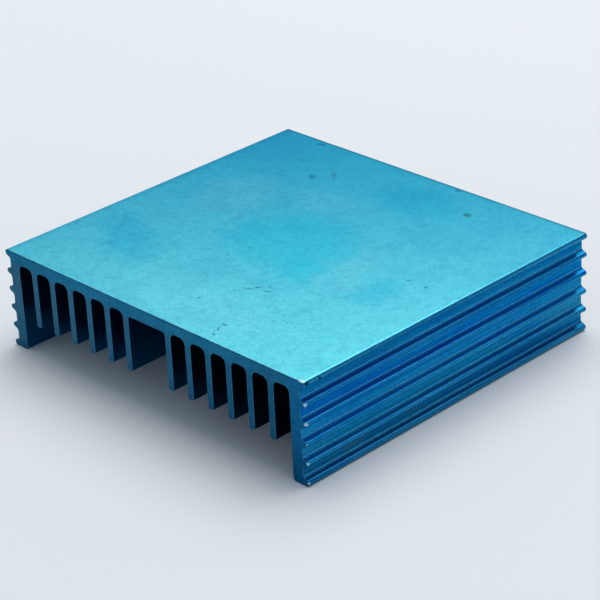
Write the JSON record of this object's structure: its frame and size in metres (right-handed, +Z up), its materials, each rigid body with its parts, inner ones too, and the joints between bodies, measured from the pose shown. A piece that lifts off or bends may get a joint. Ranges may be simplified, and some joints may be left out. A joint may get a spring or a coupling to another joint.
{
  "type": "extruded heat sink",
  "caption": "Blue anodised extruded aluminium heat sink: a flat plate over straight thin fins with a wide central channel, between two ribbed side walls that it stands on.",
  "frame": {"origin": "centre of the footprint, on the surface that the two side walls stand on", "axes": "+Z up, out of the flat plate face; +Y along the extrusion and its fins; +X across the fins"},
  "size_m": [0.064, 0.06, 0.0164],
  "materials": {
    "anodised_aluminium": "blue anodised, satin, lightly worn"
  },
  "bodies": {
    "root": {"heat_sink": "anodised_aluminium"}
  },
  "joints": []
}
